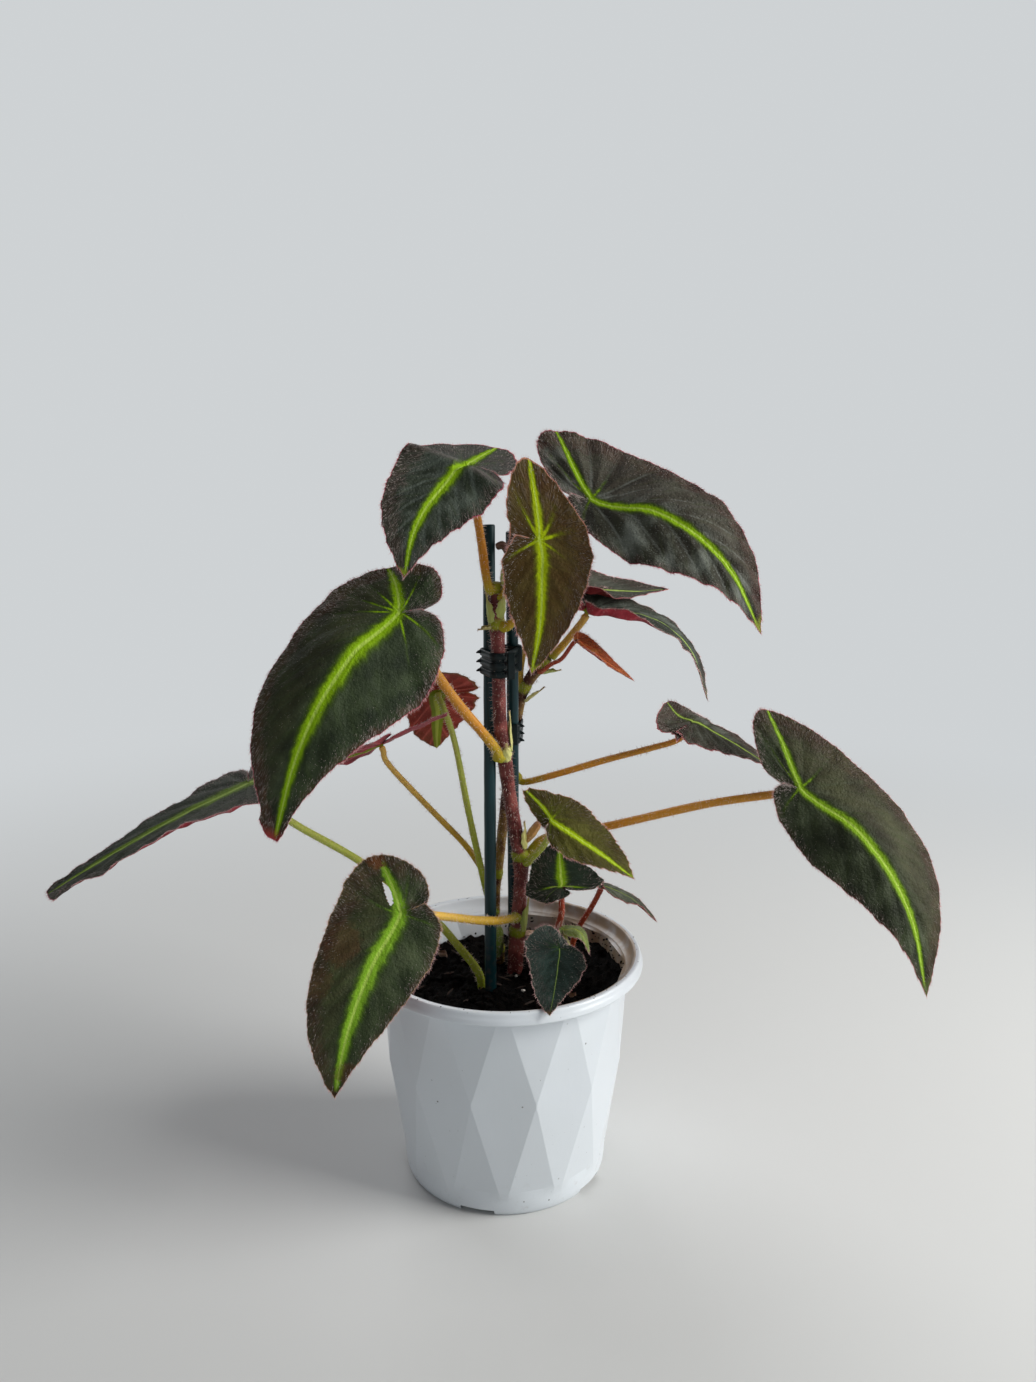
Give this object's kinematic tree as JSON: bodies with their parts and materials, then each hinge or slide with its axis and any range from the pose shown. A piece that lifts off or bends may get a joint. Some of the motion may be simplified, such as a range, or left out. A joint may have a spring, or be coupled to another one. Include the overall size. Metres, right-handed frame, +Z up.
{
  "type": "potted begonia",
  "caption": "Staked begonia with dark pointed leaves, lime midribs and hairy amber stalks, growing in soil in a faceted round plastic nursery pot with a rolled rim.",
  "frame": {"origin": "middle of the pot's underside, on the plane that the pot stands on", "axes": "+Z up along the pot's axis; -Y towards the side that the plant faces; +X to the right of someone who faces that side, along the plant's widest spread"},
  "size_m": [0.3969, 0.1394, 0.3466],
  "materials": {
    "pot_plastic": "gloss",
    "potting_soil": "matte",
    "stake_plastic": "satin",
    "clip_plastic": "satin",
    "stem": "matte",
    "stalk": "satin",
    "stalk_red": "satin",
    "blade_dark": "satin",
    "blade_olive": "satin",
    "blade_red": "satin",
    "stipule": "matte",
    "young_shoot": "satin",
    "twig": "matte"
  },
  "bodies": {
    "root": {"bud_lower": "stipule", "bud_middle": "stipule", "bud_top": "stipule", "clip_lower": "clip_plastic", "clip_upper": "clip_plastic", "leaf_back_left": "blade_dark", "leaf_back_red": "blade_red", "leaf_big_left": "blade_dark", "leaf_big_right": "blade_dark", "leaf_centre": "blade_olive", "leaf_drooping": "blade_dark", "leaf_far_left": "blade_dark", "leaf_front": "blade_dark", "leaf_low_dark": "blade_dark", "leaf_low_left": "blade_dark", "leaf_low_right": "blade_dark", "leaf_mid_right": "blade_dark", "leaf_olive": "blade_olive", "leaf_small_upper": "blade_dark", "leaf_top_left": "blade_dark", "leaf_top_right": "blade_dark", "leaf_young_green": "blade_dark", "leaf_young_red": "blade_red", "pot": "pot_plastic", "potting_soil": "potting_soil", "shoot_base": "young_shoot", "stake_left": "stake_plastic", "stake_right": "stake_plastic", "stalk_back_left": "stalk", "stalk_back_red": "stalk", "stalk_big_left": "stalk", "stalk_big_right": "stalk", "stalk_centre": "stalk", "stalk_drooping": "stalk", "stalk_far_left": "stalk", "stalk_front": "stalk", "stalk_low_dark": "stalk_red", "stalk_low_left": "stalk", "stalk_low_right": "stalk_red", "stalk_mid_right": "stalk", "stalk_olive": "stalk", "stalk_small_upper": "stalk", "stalk_top_left": "stalk", "stalk_top_right": "stalk", "stalk_young_green": "stalk", "stalk_young_red": "stalk_red", "stem_main": "stem", "stem_second": "stem", "stipule_base": "stipule", "stipule_branch": "stipule", "stipule_curled": "stipule", "stipule_fork": "stipule", "stipule_lower": "stipule", "stipule_middle_short": "stipule", "stipule_middle_tall": "stipule", "stipule_top_left": "stipule", "stipule_top_right": "stipule", "twig": "twig"}
  },
  "joints": []
}
